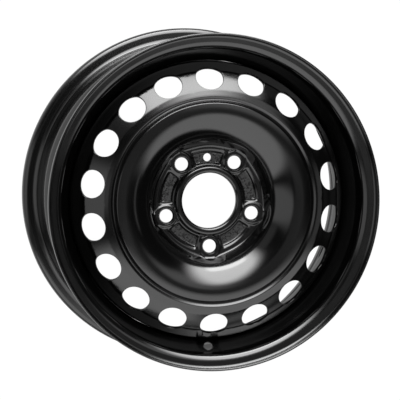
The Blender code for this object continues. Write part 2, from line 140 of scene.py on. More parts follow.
class RimSizes(bpy.types.PropertyGroup):
    """The rolled rim: its drop-centre contour, measured on the tyre side."""

    flange_radius: length("Flange radius", "Outside of both flanges", RIM_HIGH.x / MM)
    lip_height: length("Lip height", "Flange edge above the rim's middle plane", RIM_HIGH.z / MM)
    flange_height: length("Flange height", "Flange above the bead seat", 17.5)
    flange_lip: length("Flange lip", "How far the curled edge stands out past the flange wall", 13.1)
    curl: length("Curl radius", "Bend of the flange's curled edge", 6.4)
    heel: length("Heel radius", "Bend where the tyre bead's heel sits", 6.5)
    seat_length: length("Seat length", "Width of each bead seat", 18.5)
    seat_taper: angle("Seat taper", "Slope of the bead seats", 5)
    hump_height: length("Hump height", "Safety hump above the seat's end", 1.1)
    hump_ramp: length("Hump ramp", "Width of the hump's slope, and of its top", 3.2)
    hump_bend: length("Hump bend", "Bend radius of the hump", 1.5)
    well_depth: length("Well depth", "Drop centre below the bead seat", 17.3)
    well_setback: length("Well setback", "Outboard flange wall to the drop centre's floor", 46.0)
    well_length: length("Well length", "Width of the drop centre's floor", 42.0)
    well_outer_slope: angle("Well outer slope", "Slope of the drop centre's outboard wall", 48)
    well_inner_slope: angle("Well inner slope", "Slope of the drop centre's inboard wall", 24)
    well_bend: length("Well bend", "Bends of the drop centre", 9.0)
    sheet: length("Rim sheet", "Thickness of the rim's strip", 2.6)
    lip_edge: length("Lip edge", "Rounding of the strip's two edges", 1.1)
    valve_angle: angle("Valve angle", "Where the valve hole is, round the axle line", -90.7)
    valve_hole: length("Valve hole", "Diameter of the valve hole", 11.5)
    valve_coining: length("Valve coining", "Width of the coined edge round the valve hole", 1.6)
    valve_flat: length("Valve flat", "Width of the flat round the valve hole", 25.0)
    valve_ramp: length("Valve flat ramp", "Width of the flat's side slopes", 3.0)
    valve_turn: angle("Valve flat turn", "How far the flat is turned out of the wall", 12)


class DiscSizes(bpy.types.PropertyGroup):
    """The pressed disc, from the bore to the skirt."""

    hub_face: length("Hub face", "Mounting face above the rim's middle plane", 52.0)
    sheet: length("Disc sheet", "Thickness of the disc's blank", 3.8)
    bore: length("Bore", "Diameter of the centre bore", 72.6)
    bore_land: length("Bore land", "Straight part of the bore's wall", 6.5)
    collar_width: length("Collar width", "Flat top of the collar round the bore", 8.0)
    collar_rise: length("Collar rise", "Collar above the hub zone", 6.0)
    collar_flare: length("Collar flare", "Run of the collar's outer slope", 2.4)
    collar_bend: length("Collar bend", "Bend radius of the collar", 3.0)
    collar_foot: length("Collar foot bend", "Bend at the collar's foot", 0.8)
    hub_level: length("Hub level", "Hub zone above the mounting pads", 4.0)
    zone_margin: length("Hub zone margin", "Hub zone's edge beyond the bolt circle", 12.4)
    zone_bend: length("Hub zone bend", "Bend where the hub zone meets the dome's wall", 3.5)
    dome_rise: length("Dome rise", "Crest above the hub zone", 37.0)
    dome_slope: angle("Dome wall slope", "Slope of the bowl's wall", 64)
    dome_inner_bend: length("Dome inner bend", "Bend from the bowl's wall to the crest", 52.0)
    dome_roll: length("Dome roll", "Width of the crest's gentle fall before its shoulder", 7.0)
    dome_roll_fall: length("Dome roll fall", "Fall of the crest over the roll", 0.8)
    dome_roll_bend: length("Dome roll bend", "Bend from the crest to the roll", 60.0)
    dome_shoulder: length("Dome shoulder", "Width of the crest's fall to the groove", 4.6)
    dome_outer_bend: length("Dome outer bend", "Bend from the crest to the shoulder", 1.2)
    groove_fall: length("Groove below crest", "Depth of the groove under the crest", 6.6)
    groove_bend: length("Groove bend", "Bend radius of the groove", 1.0)
    ledge_run: length("Ledge rise width", "Run from the groove up to the ledge", 3.4)
    ledge_rise: length("Ledge rise", "Ledge above the groove", 1.8)
    ledge_foot: length("Ledge foot bend", "Bend at the inner edge of the ledge", 2.0)
    ledge_width: length("Ledge width", "Width of the ledge", 9.5)
    ledge_fall: length("Ledge fall", "Fall of the ledge towards the vents", 2.6)
    ledge_bend: length("Ledge bend", "Bend from the ledge to the vent band", 6.0)
    ledge_inset: length("Ledge inset", "Ledge's outer edge in from the skirt's outside", 36.1)
    vent_band: length("Vent band", "Width of the sloping band", 23.0)
    vent_slope: angle("Vent slope", "Slope of the vent band", 34)
    vent_bend: length("Vent bend", "Bend from the vent band to the disc's flank", 8.0)
    skirt_slope: angle("Skirt slope", "Slope of the disc's flank under the vents", 61)
    skirt_bend: length("Skirt bend", "Bend where the skirt turns down the drop centre", 14.0)
    skirt_setback: length("Skirt setback", "Outboard flange wall to the skirt's edge", 72.0)
    gap: length("Gap", "Clearance between the skirt and the drop centre", 0.3)


class HoleSizes(bpy.types.PropertyGroup):
    """Pads, bolt seats, and every hole punched in the disc."""

    bolts: IntProperty(name="Bolts", description="Bolt holes", default=5, min=3, max=10)
    bolt_circle: length("Bolt circle", "Diameter of the bolt circle", 120.0)
    bolt_hole: length("Bolt hole", "Diameter of a bolt hole at its back", 17.4)
    seat_cone: angle("Seat cone", "Full angle of the bolt seats", 60)
    seat_land: length("Seat land", "Straight part of a bolt hole under its cone", 1.1)
    boss_radius: length("Boss radius", "Raised seat round each bolt hole", 13.2)
    boss_ramp: length("Boss ramp", "Width of the seat's slope", 2.2)
    boss_rise: length("Boss rise", "Height of the seat over the hub zone", 1.5)
    boss_fade: length("Boss fade", "Where the seat fades into the collar's foot", 3.0)
    wall_fade: length("Wall fade", "Where the seat fades into the dome's wall", 8.0)
    alcove: length("Alcove", "How far the dome's foot is pushed out beside each seat", 3.4)
    pad_inside: length("Pad inside", "Gap from the collar's foot to a pad", 3.3)
    pad_outside: length("Pad outside", "A pad's outer edge beyond the bolt circle", 2.2)
    pad_ramp: length("Pad ramp", "Width of a pad's inner slope", 2.4)
    pad_outer_ramp: length("Pad outer ramp", "Width of a pad's outer slope", 5.0)
    pad_half: angle("Pad half angle", "Half of the angle that a pad takes round the axle", 18)
    pad_end: angle("Pad end ramp", "Slope at the ends of a pad", 2.6)
    locating_hole: length("Locating hole", "Diameter of the locating hole", 10.6)
    vents: IntProperty(name="Vents", description="Vent holes", default=18, min=6, max=30)
    vent_hole: length("Vent hole", "Diameter of a vent hole, square to the band", 36.6)
    vent_tilt: angle("Vent tilt", "Lean of the vents' punch away from the axle line", 41)
    vent_from_ledge: length("Vent from ledge", "Vent circle beyond the ledge's outer edge", 14.0)
    edge: length("Punched edge", "Rounding of the vents' edges under the paint", 0.6)
    fine_edge: length("Fine edge", "Rounding of the bolt, locating and valve holes' edges", 0.35)


class WeldSizes(bpy.types.PropertyGroup):
    """The fillet beads along the skirt's inboard edge."""

    leg: length("Leg", "Leg of the fillet", 4.5)
    run: length("Run", "Length of one bead", 52.0)
    crown: length("Crown", "How far the bead stands out past a straight fillet", 0.5)
    ripple_pitch: length("Ripple pitch", "Distance between the ripples that a weld pool leaves", 2.4)
    ripple: length("Ripple height", "Height of the ripples", 0.22)


class PaintLook(bpy.types.PropertyGroup):
    """Black electro-dip paint."""

    base: colour("Base", "Colour of the paint film", "#030303")
    index: number("Index", "Refractive index of the film", 1.8)
    rim_roughness: number("Rim roughness", "Gloss of the rim's film", 0.16)
    disc_roughness: number("Disc roughness", "Gloss of the disc's film", 0.14)
    coined_roughness: number("Coined roughness", "Gloss of the film on the pads", 0.45)
    mottle: length("Mottle", "Size of the mottling on the pads", 2.5)
    peel: length("Orange peel", "Distance between the ripples of the paint film", 3.0)


class StudioLook(bpy.types.PropertyGroup):
    """Camera place and background."""

    yaw: angle("Yaw", "How far the camera stands to the left of the axle line", 12.35)
    pitch: angle("Pitch", "How far the camera stands above the axle line", 4.32)
    roll: angle("Roll", "Turn of the camera about the axle line", -1.04)
    distance: length("Distance", "From where the camera looks to the camera", 5000)
    lens: number("Lens", "Focal length in millimetres", 344.2)
    target_x: length("Target X", "Where the camera looks, across", -11.97)
    target_y: length("Target Y", "Where the camera looks, up", 0.68)
    target_z: length("Target Z", "Where the camera looks, along the axle line", 61.3)
    backdrop: colour("Backdrop", "Colour of the floor", "#808080")


# Soft panels round the wheel: brightness, softness of the edges, and corners as a turn round the
# axle line and an angle from straight up, all angles in degrees. The rest of the room is dark.
PANELS = {
    "key": (6.4, 9, (57, 22), (121, 50), (121, 88), (56, 88)),
    "key foot": (10, 6, (68, 69), (113, 69), (113, 95), (68, 95)),
    "fill": (1.25, 5, (320, 14), (216, 38), (207, 82), (262, 81), (335, 56)),
    "left card": (0.62, 5, (160, 20), (199, 20), (199, 86), (160, 86)),
    "back card": (0.2, 8, (125, 58), (160, 58), (160, 88), (125, 88)),
    "right card": (0.7, 5, (10, 15), (14, 30), (45, 50), (60, 13)),
    "ceiling": (0.13, 4, (0, 20), (90, 20), (180, 20), (270, 20)),
    "right strip": (0.4, 2, (338, 43), (6, 43), (6, 48), (338, 48)),
}
ROOM = 0.006

# The camera sees world and floor as white, and glossy rays see these shares of it. The floor glows
# at FLOOR_WHITE, and the part of it past FLOOR_SHARE is matt and takes the wheel's shadow.
WORLD_GLOSS = 0.01
FLOOR_WHITE = 1.08
FLOOR_GLOSS = 0.4
FLOOR_SHARE = 0.93

SETTINGS = {
    "rim": RimSizes,
    "disc": DiscSizes,
    "holes": HoleSizes,
    "weld": WeldSizes,
    "paint": PaintLook,
    "studio": StudioLook,
}


def settings(name):
    """One of the groups of values that the panel shows."""
    return getattr(bpy.context.scene, "wheel_" + name)


def smoothstep(low, high, value):
    """0 below low, 1 above high, and 3t² - 2t³ between them."""
    t = np.clip((value - low) / (high - low), 0.0, 1.0)
    return t * t * (3 - 2 * t)


def levelling(low, high, value):
    """1 before low, 0 past high, and (1 - t) to the power 1.7 between them: a crease that levels out."""
    return (1 - np.clip((value - low) / (high - low), 0.0, 1.0)) ** 1.7


def offset_corners(corners, distance):
    """A chain of (r, z, bend) corners moved to its right by a sheet's thickness.

    A corner moves along the bisector of its two runs, by distance over the cosine of half the
    turn, and its bend grows or shrinks by the distance.
    """
    points = np.array([c[:2] for c in corners])
    ways = np.diff(points, axis=0)
    ways /= np.linalg.norm(ways, axis=1)[:, None]
    rights = np.stack([ways[:, 1], -ways[:, 0]], axis=1)
    middle = rights[:-1] + rights[1:]
    middle /= np.linalg.norm(middle, axis=1)[:, None]
    inner = points[1:-1] + middle * (distance / np.sum(middle * rights[1:], axis=1))[:, None]
    turn = ways[:-1, 0] * ways[1:, 1] - ways[:-1, 1] * ways[1:, 0]
    bends = np.array([c[2] for c in corners[1:-1]]) + np.where(turn > 0, distance, -distance)
    bends = np.maximum(bends, LEAST_BEND)
    chain = [(*(points[0] + rights[0] * distance), 0.0)]
    chain += [(*spot, bend) for spot, bend in zip(inner, bends)]
    chain.append((*(points[-1] + rights[-1] * distance), 0.0))
    return chain


def closed_section(corners, thickness, edge):
    """A bent sheet's whole section as one closed chain, from the middle of its first end.

    The near side runs as given, the far side is its offset run backwards, and the four corners
    at the sheet's two ends are rounded by edge.
    """
    near = [(*corners[0][:2], edge), *corners[1:-1], (*corners[-1][:2], edge)]
    far = offset_corners(corners, thickness)
    far = [(*far[-1][:2], edge), *far[-2:0:-1], (*far[0][:2], edge)]
    first = tuple((a + b) / 2 for a, b in zip(near[0][:2], far[-1][:2]))
    return [(*first, 0.0), *near, *far, (*first, 0.0)]


class Profile:
    """A chain of corners, each rounded by an arc, as r and z against the distance s along it.

    A table holds the chain every TABLE_STEP, so at(s) is a linear lookup. The stations are the s
    where a grid has its rows: both ends of each run and arc, and a row every ARC_STEP of an arc.
    """

    def __init__(self, corners):
        """An arc reaches bend tan(turn / 2) along its two runs.

        Where two arcs share a run too short for both, each reach is cut by the same share.
        """
        points, bends = np.array([c[:2] for c in corners]), np.array([c[2] for c in corners])
        ways = np.diff(points, axis=0)
        runs = np.linalg.norm(ways, axis=1)
        ways /= runs[:, None]
        turns = np.arccos(np.clip(np.sum(ways[:-1] * ways[1:], axis=1), -1, 1))
        reaches = np.zeros(len(points))
        reaches[1:-1] = bends[1:-1] * np.tan(turns / 2)
        room = np.minimum(1, SHARED_RUN * runs / np.maximum(reaches[:-1] + reaches[1:], TINY))
        reaches[1:-1] *= np.minimum(room[:-1], room[1:])
        self.path = [points[:1]]
        self.marks = [0.0]
        for here, before, after, turn, reach in zip(points[1:], ways, ways[1:], turns, reaches[1:]):
            if turn < STRAIGHT:
                self._run_to(here)
                continue
            bisector = (after - before) / np.linalg.norm(after - before)
            centre = here + bisector * reach / math.sin(turn / 2)
            first, last = here - before * reach - centre, here + after * reach - centre
            self._run_to(centre + first)
            count = max(int(reach / math.tan(turn / 2) * turn / TABLE_STEP), ARC_POINTS)
            share = np.linspace(0, 1, count + 1)[1:, None]
            arc = (first * np.sin((1 - share) * turn) + last * np.sin(share * turn)) / math.sin(turn)
            self._add(centre + arc, math.ceil(turn / ARC_STEP))
        self._run_to(points[-1])
        path = np.concatenate(self.path)
        self.s = np.concatenate([[0.0], np.cumsum(np.linalg.norm(np.diff(path, axis=0), axis=1))])
        self.r, self.z = path.T
        self.stations = np.array(self.marks)
        self.end = self.s[-1]

    def _add(self, path, pieces):
        """Carry on along a path, with a station at the end of each of its pieces."""
        whole = np.concatenate([self.path[-1][-1:], path])
        far = np.linalg.norm(np.diff(whole, axis=0), axis=1).sum()
        self.marks += [self.marks[-1] + far * (k + 1) / pieces for k in range(pieces)]
        self.path.append(path)

    def _run_to(self, end):
        """Carry on in a straight run."""
        start = self.path[-1][-1]
        count = max(int(np.linalg.norm(end - start) / TABLE_STEP), 1)
        self._add(start + (end - start) * np.linspace(0, 1, count + 1)[1:, None], 1)

    def at(self, s):
        """Radius and height at a distance along the chain."""
        return np.interp(s, self.s, self.r), np.interp(s, self.s, self.z)

    def nearest(self, radius, height, low=0.0, high=None):
        """The s between low and high that comes nearest a point; a height of None asks for a radius."""
        apart = np.abs(self.r - radius)
        if height is not None:
            apart = np.hypot(apart, self.z - height)
        inside = (self.s >= low) & (self.s <= (high or self.end))
        return self.s[np.argmin(np.where(inside, apart, np.inf))]

    def rows(self, low, high, step, count=0):
        """Stations from low to high, with gaps split to at most step, and at least count of them."""
        inner = self.stations[(self.stations > low + LEAST_ROW) & (self.stations < high - LEAST_ROW)]
        marks = np.concatenate([[low], inner, [high]])
        spread = [np.linspace(a, b, math.ceil((b - a) / step) + 1)[:-1] for a, b in zip(marks, marks[1:])]
        values = np.concatenate([*spread, [high]])
        while len(values) < count:
            widest = int(np.argmax(np.diff(values)))
            values = np.insert(values, widest + 1, values[widest:widest + 2].mean())
        return values


def new_object(name, data):
    """An object with this data, in the scene."""
    made = bpy.data.objects.new(name, data)
    bpy.context.scene.collection.objects.link(made)
    return made


def turned_point(radius, height, v):
    """The point at a radius, a height and an angle round the axle line."""
    return np.stack([radius * np.cos(v), radius * np.sin(v), height + 0 * v], axis=-1)


class Punch:
    """A round punch: its centre, its axis out of the sheet's near side, and two axes across it."""

    def __init__(self, turn, radius, height, tilt):
        """tilt is the axis's lean from Z, away from the axle line, at this turn round it."""
        out, up = np.array([math.cos(turn), math.sin(turn), 0.0]), np.array([0.0, 0.0, 1.0])
        self.centre = radius * out + height * up
        self.axis = math.sin(tilt) * out + math.cos(tilt) * up
        self.along = math.cos(tilt) * out - math.sin(tilt) * up
        self.aside = np.cross(self.axis, self.along)

    def flat(self, points):
        """The two offsets of points across the punch."""
        apart = points - self.centre
        return np.stack([apart @ self.along, apart @ self.aside])

    def ring(self, turns, radius, level):
        """Points at these turns round the punch, at a radius and a level along its axis."""
        across = np.cos(turns)[:, None] * self.along + np.sin(turns)[:, None] * self.aside
        return self.centre + radius * across + level * self.axis

    def start(self, surface, s_values, v_values):
        """The place in a window that lies nearest the punch's axis."""
        s, v = np.meshgrid(np.linspace(*s_values[[0, -1]], 25), np.linspace(*v_values[[0, -1]], 25))
        spot = np.argmin(np.linalg.norm(self.flat(surface(s, v)), axis=0))
        return s.flat[spot], v.flat[spot]

    def meet(self, surface, turns, radius, s, v):
        """The (s, v) at which a surface meets the punch's wall of this radius.

        Newton's method on the two offsets across the punch, with slopes from small differences.
        """
        goal = radius * np.stack([np.cos(turns), np.sin(turns)])
        s, v = s + 0 * turns, v + 0 * turns
        ds, dv = 0.02 * MM, 1e-4
        for _ in range(NEWTON_STEPS):
            here = self.flat(surface(s, v))
            by_s = (self.flat(surface(s + ds, v)) - here) / ds
            by_v = (self.flat(surface(s, v + dv)) - here) / dv
            left = goal - here
            size = by_s[0] * by_v[1] - by_v[0] * by_s[1]
            s = s + np.clip((left[0] * by_v[1] - left[1] * by_v[0]) / size, -MOST_S, MOST_S)
            v = v + np.clip((left[1] * by_s[0] - left[0] * by_s[1]) / size, -MOST_V, MOST_V)
        return s, v


class Sheet:
    """Grids and patches of one piece, joined into one closed mesh."""

    def __init__(self, surface):
        self.surface = surface
        self.points = []
        self.faces = []
        self.count = 0

    def grid(self, points):
        """Quads over an (m, n, 3) array of points."""
        m, n = points.shape[:2]
        index = np.arange(m * n).reshape(m, n) + self.count
        corners = [index[:-1, :-1], index[1:, :-1], index[1:, 1:], index[:-1, 1:]]
        self.points.append(points.reshape(-1, 3))
        self.faces.append(np.stack(corners, axis=-1).reshape(-1, 4))
        self.count += m * n

    def hoops(self, layers):
        """Quads between closed rings of points."""
        layers = np.asarray(layers)
        self.grid(np.concatenate([layers, layers[:, :1]], axis=1))

    def patch(self, s_values, v_values):
        """The surface over a plain window of (s, v)."""
        self.grid(self.surface(*np.meshgrid(s_values, v_values, indexing="ij")))

    def holed(self, s_values, v_values, punch, radius, side, edge, rings):
        """A window of the surface round a punched hole, as rings from the window in to the hole.

        Ring k is the blend (1 - w) hole + w window in (s, v), and w falls as t to the power
        CROWDING, so rings crowd towards the hole. The last two rings turn over the punched edge.
        Returns the last one with its turns round the punch. side is 1 where the punch's axis
        leaves the sheet.
        """
        across, along = np.ones(len(v_values) - 1), np.ones(len(s_values) - 1)
        s_out = np.concatenate([s_values[0] * across, s_values[:-1], s_values[-1] * across, s_values[:0:-1]])
        v_out = np.concatenate([v_values[:-1], v_values[-1] * along, v_values[:0:-1], v_values[0] * along])
        across = punch.flat(self.surface(s_out, v_out))
        turns = np.arctan2(across[1], across[0])
        start = punch.start(self.surface, s_values, v_values)
        s_in, v_in = punch.meet(self.surface, turns, radius + edge, *start)
        weight = np.linspace(1, 0, rings + 1)[:, None] ** CROWDING
        layers = list(self.surface(s_in + (s_out - s_in) * weight, v_in + (v_out - v_in) * weight))
        for wider, below in ((0.3 * edge, 0.3 * edge), (0.0, edge)):
            rim = self.surface(*punch.meet(self.surface, turns, radius + wider, *start))
            layers.append(rim - side * below * punch.axis)
        self.hoops(layers)
        return layers[-1], turns

    def pierce(self, rows, window, punch, radii, edge, land=None, rings=11):
        """A holed window on each face of the sheet, joined through the hole.

        The first rows and radius are on the side to which the punch's axis points. A coned hole
        keeps the second radius as far as land along the axis.
        """
        front, turns = self.holed(rows[0], window, punch, radii[0], 1, edge, rings)
        back, _ = self.holed(rows[1], window, punch, radii[1], -1, edge, rings)
        cone = [] if land is None else [punch.ring(turns, radii[1], land)]
        self.hoops([front, *cone, back])

    def build(self, name):
        """Make the object: doubles merge, so that seams close, and faces turn outwards."""
        mesh = bpy.data.meshes.new(name)
        mesh.from_pydata(np.concatenate(self.points), [], np.concatenate(self.faces))
        work = bmesh.new()
        work.from_mesh(mesh)
        bmesh.ops.remove_doubles(work, verts=work.verts, dist=TINY)
        bmesh.ops.recalc_face_normals(work, faces=work.faces)
        if work.calc_volume(signed=True) < 0:
            bmesh.ops.reverse_faces(work, faces=work.faces)
        work.to_mesh(mesh)
        work.free()
        mesh.shade_smooth()
        mesh.set_sharp_from_angle(angle=SHARP_EDGE)
        return new_object(name, mesh)


def rim_chain(rim):
    """Tyre side of the rim, from the outboard lip edge down to the inboard one."""
    face = rim.lip_height - rim.flange_lip
    seat = rim.flange_radius - rim.flange_height
    seat_end = face - rim.seat_length
    ledge = seat - rim.seat_length * math.tan(rim.seat_taper)
    hump = ledge + rim.hump_height
    well = seat - rim.well_depth
    floor_top = face - rim.well_setback
    floor_end = floor_top - rim.well_length

    def flange(side):
        return [
            (rim.flange_radius, side * rim.lip_height, 0.0),
            (rim.flange_radius, side * face, rim.curl),
            (seat, side * face, rim.heel),
            (ledge, side * seat_end, rim.hump_bend),
            (hump, side * (seat_end - rim.hump_ramp), rim.hump_bend),
            (hump, side * (seat_end - 2 * rim.hump_ramp), rim.hump_bend),
        ]

    return [
        *flange(1),
        (hump, floor_top + (hump - well) / math.tan(rim.well_outer_slope), rim.well_bend / 2),
        (well, floor_top, rim.well_bend),
        (well, floor_end, rim.well_bend),
        (ledge, floor_end - (ledge - well) / math.tan(rim.well_inner_slope), rim.well_bend),
        *flange(-1)[::-1],
    ]


class RimSurface:
    """The rim as a surface of (s, v), with the flat round its valve hole."""

    def __init__(self, rim):
        self.rim = rim
        chain = rim_chain(rim)
        self.profile = Profile(closed_section(chain, rim.sheet, rim.lip_edge))
        # Corners 6 and 7 are the ends of the drop centre's outboard wall.
        top, bottom = np.array(chain[6][:2]), np.array(chain[7][:2])
        self.half_length = np.linalg.norm(bottom - top) / 2
        self.way = (bottom - top) / (2 * self.half_length)
        inward = np.array([self.way[1], -self.way[0]])
        self.outside = (top + bottom) / 2
        self.middle = self.outside + inward * rim.sheet
        lean = math.atan2(inward[0], inward[1]) + rim.valve_turn
        self.punch = Punch(rim.valve_angle, *self.middle, lean)

    def __call__(self, s, v):
        """Round the valve, height falls by sin(turn) times the run along the wall.

        The radius there is r / cos(v). Both fade out by smooth weights at the flat's sides and
        about the wall's two ends.
        """
        rim = self.rim
        r, z = self.profile.at(s)
        aside = np.abs((v - rim.valve_angle + math.pi) % math.tau - math.pi)
        along = (r - self.middle[0]) * self.way[0] + (z - self.middle[1]) * self.way[1]
        half = rim.valve_flat / 2 / self.middle[0]
        end = half + rim.valve_ramp / self.middle[0]
        weight = 1 - smoothstep(half, end, aside)
        fade_from, fade_to = 0.75 * self.half_length, 1.25 * self.half_length
        weight = weight * (1 - smoothstep(fade_from, fade_to, np.abs(along)))
        z = z - along * math.sin(rim.valve_turn) * weight
        r = r * (1 + (1 / np.cos(np.minimum(aside, end)) - 1) * weight)
        return turned_point(r, z, v)


def make_rim(rim, holes):
    """The rim: rows all round it, and a window with the valve hole on each side of its wall."""
    surface = RimSurface(rim)
    profile = surface.profile
    sheet = Sheet(surface)
    columns = round(FLAT_REACH / FINE_TURN)
    close = rim.valve_angle + np.arange(-columns, columns + 1) * FINE_TURN
    rest = round((math.tau - 2 * FLAT_REACH) / RIM_TURN)
    turn = np.concatenate([close, np.linspace(close[-1], close[0] + math.tau, rest + 1)[1:]])
    first = round((FLAT_REACH - HOLE_REACH) / FINE_TURN)
    last = len(close) - 1 - first
    half_way = profile.nearest(rim.flange_radius - rim.sheet / 2, -rim.lip_height)
    near = profile.nearest(*surface.outside, 0, half_way)
    far = profile.nearest(*surface.middle, half_way)
    spans = [(middle - VALVE_REACH, middle + VALVE_REACH) for middle in (near, far)]
    near_rows, far_rows = matched_rows(profile, *spans, VALVE_STEP)
    for low, high in ((0, spans[0][0]), (spans[0][1], spans[1][0]), (spans[1][1], profile.end)):
        sheet.patch(profile.rows(low, high, RIM_STEP), turn)
    around = np.concatenate([turn[last:], turn[1:first + 1] + math.tau])
    sheet.patch(near_rows, around)
    sheet.patch(far_rows, around)
    window = turn[first:last + 1]
    hole = rim.valve_hole / 2
    radii = hole + rim.valve_coining, hole
    sheet.pierce((far_rows, near_rows), window, surface.punch, radii, holes.fine_edge, -rim.valve_coining)
    return sheet.build("rolled_rim")


class DiscSurface:
    """The disc as a surface of (s, v), with its pads, bolt seats and alcoves."""

    def __init__(self, disc, holes, rim):
        self.disc, self.holes = disc, holes
        face = rim.lip_height - rim.flange_lip
        bore = disc.bore / 2
        self.bolt_radius = holes.bolt_circle / 2
        self.collar_end = bore + disc.collar_width
        collar_foot = self.collar_end + disc.collar_flare
        self.zone_level = disc.hub_face + disc.hub_level + disc.sheet
        self.zone_radius = self.bolt_radius + disc.zone_margin
        self.wall_end = self.zone_radius + disc.dome_rise / math.tan(disc.dome_slope)
        crest = self.zone_level + disc.dome_rise
        groove = crest - disc.groove_fall
        self.skirt = rim.flange_radius - rim.flange_height - rim.well_depth - rim.sheet - disc.gap
        self.skirt_edge = face - disc.skirt_setback
        self.ledge_end = self.skirt - disc.ledge_inset
        self.ledge_level = groove + disc.ledge_rise - disc.ledge_fall
        ledge_start = self.ledge_end - disc.ledge_width
        groove_radius = ledge_start - disc.ledge_run
        shoulder = groove_radius - disc.dome_shoulder
        band_end = self.ledge_end + disc.vent_band
        band_level = self.ledge_level - disc.vent_band * math.tan(disc.vent_slope)
        skirt_top = band_level - (self.skirt - band_end) * math.tan(disc.skirt_slope)
        top = self.zone_level + disc.collar_rise
        self.pad_inner = collar_foot + holes.pad_inside
        self.pad_outer = self.bolt_radius + holes.pad_outside
        chain = [
            (bore, top - disc.collar_bend - disc.bore_land, 0.0),
            (bore, top, disc.collar_bend),
            (self.collar_end, top, disc.collar_bend),
            (collar_foot, self.zone_level, disc.collar_foot),
            (self.zone_radius, self.zone_level, disc.zone_bend),
            (self.wall_end, crest, disc.dome_inner_bend),
            (shoulder - disc.dome_roll, crest, disc.dome_roll_bend),
            (shoulder, crest - disc.dome_roll_fall, disc.dome_outer_bend),
            (groove_radius, groove, disc.groove_bend),
            (ledge_start, groove + disc.ledge_rise, disc.ledge_foot),
            (self.ledge_end, self.ledge_level, disc.ledge_bend),
            (band_end, band_level, disc.vent_bend),
            (self.skirt, skirt_top, disc.skirt_bend),
            (self.skirt, self.skirt_edge, 0.0),
        ]
        cut_edge = 0.3 * disc.sheet
        self.profile = Profile(closed_section(chain, disc.sheet, cut_edge))

    def bolt_angle(self, v):
        """The angle from the nearest bolt hole, one of which points along -Y."""
        pitch = math.tau / self.holes.bolts
        return (v + math.pi / 2 + pitch / 2) % pitch - pitch / 2

    def __call__(self, s, v):
        """Pads go down by the hub level, and seats go up by their rise, each by smooth weights.

        The dome's foot moves outwards beside each seat by a bell curve of the angle.
        """
        disc, holes = self.disc, self.holes
        r, z = self.profile.at(s)
        bolt = self.bolt_angle(v)
        from_pad = math.pi / holes.bolts - np.abs(bolt)
        in_pad = levelling(self.pad_inner, self.pad_inner - holes.pad_ramp, r)
        in_pad = in_pad * levelling(self.pad_outer, self.pad_outer + holes.pad_outer_ramp, r)
        in_pad = in_pad * (1 - smoothstep(holes.pad_half, holes.pad_half + holes.pad_end, from_pad))
        apart = np.hypot(r * np.sin(bolt), r * np.cos(bolt) - self.bolt_radius)
        on_seat = 1 - smoothstep(holes.boss_radius, holes.boss_radius + holes.boss_ramp, apart)
        on_seat = on_seat * smoothstep(self.collar_end, self.collar_end + holes.boss_fade, r)
        on_seat = on_seat * (1 - smoothstep(self.zone_radius, self.zone_radius + holes.wall_fade, r))
        z = z + holes.boss_rise * on_seat * (1 - in_pad) - disc.hub_level * in_pad
        beside = np.exp(-((bolt * self.bolt_radius / holes.boss_radius) ** 2))
        foot = smoothstep(self.bolt_radius, self.zone_radius - disc.zone_bend, r)
        wall = self.zone_radius + disc.zone_bend
        foot = foot * (1 - smoothstep(wall, wall + 2 * disc.zone_bend, r))
        return turned_point(r + holes.alcove * beside * foot, z, v)


def matched_rows(profile, near, far, step):
    """As many rows through a window on each side of the sheet, both from the same edge."""
    count = max(len(profile.rows(*span, step)) for span in (near, far))
    return profile.rows(*near, step, count), profile.rows(*far, step, count)[::-1]


def degrees(middle, half):
    """The disc's columns, three to 4 degrees, from middle - half to middle + half degrees."""
    return np.linspace(middle - half, middle + half, round(2 * half * 3 / 4) + 1) * DEGREE


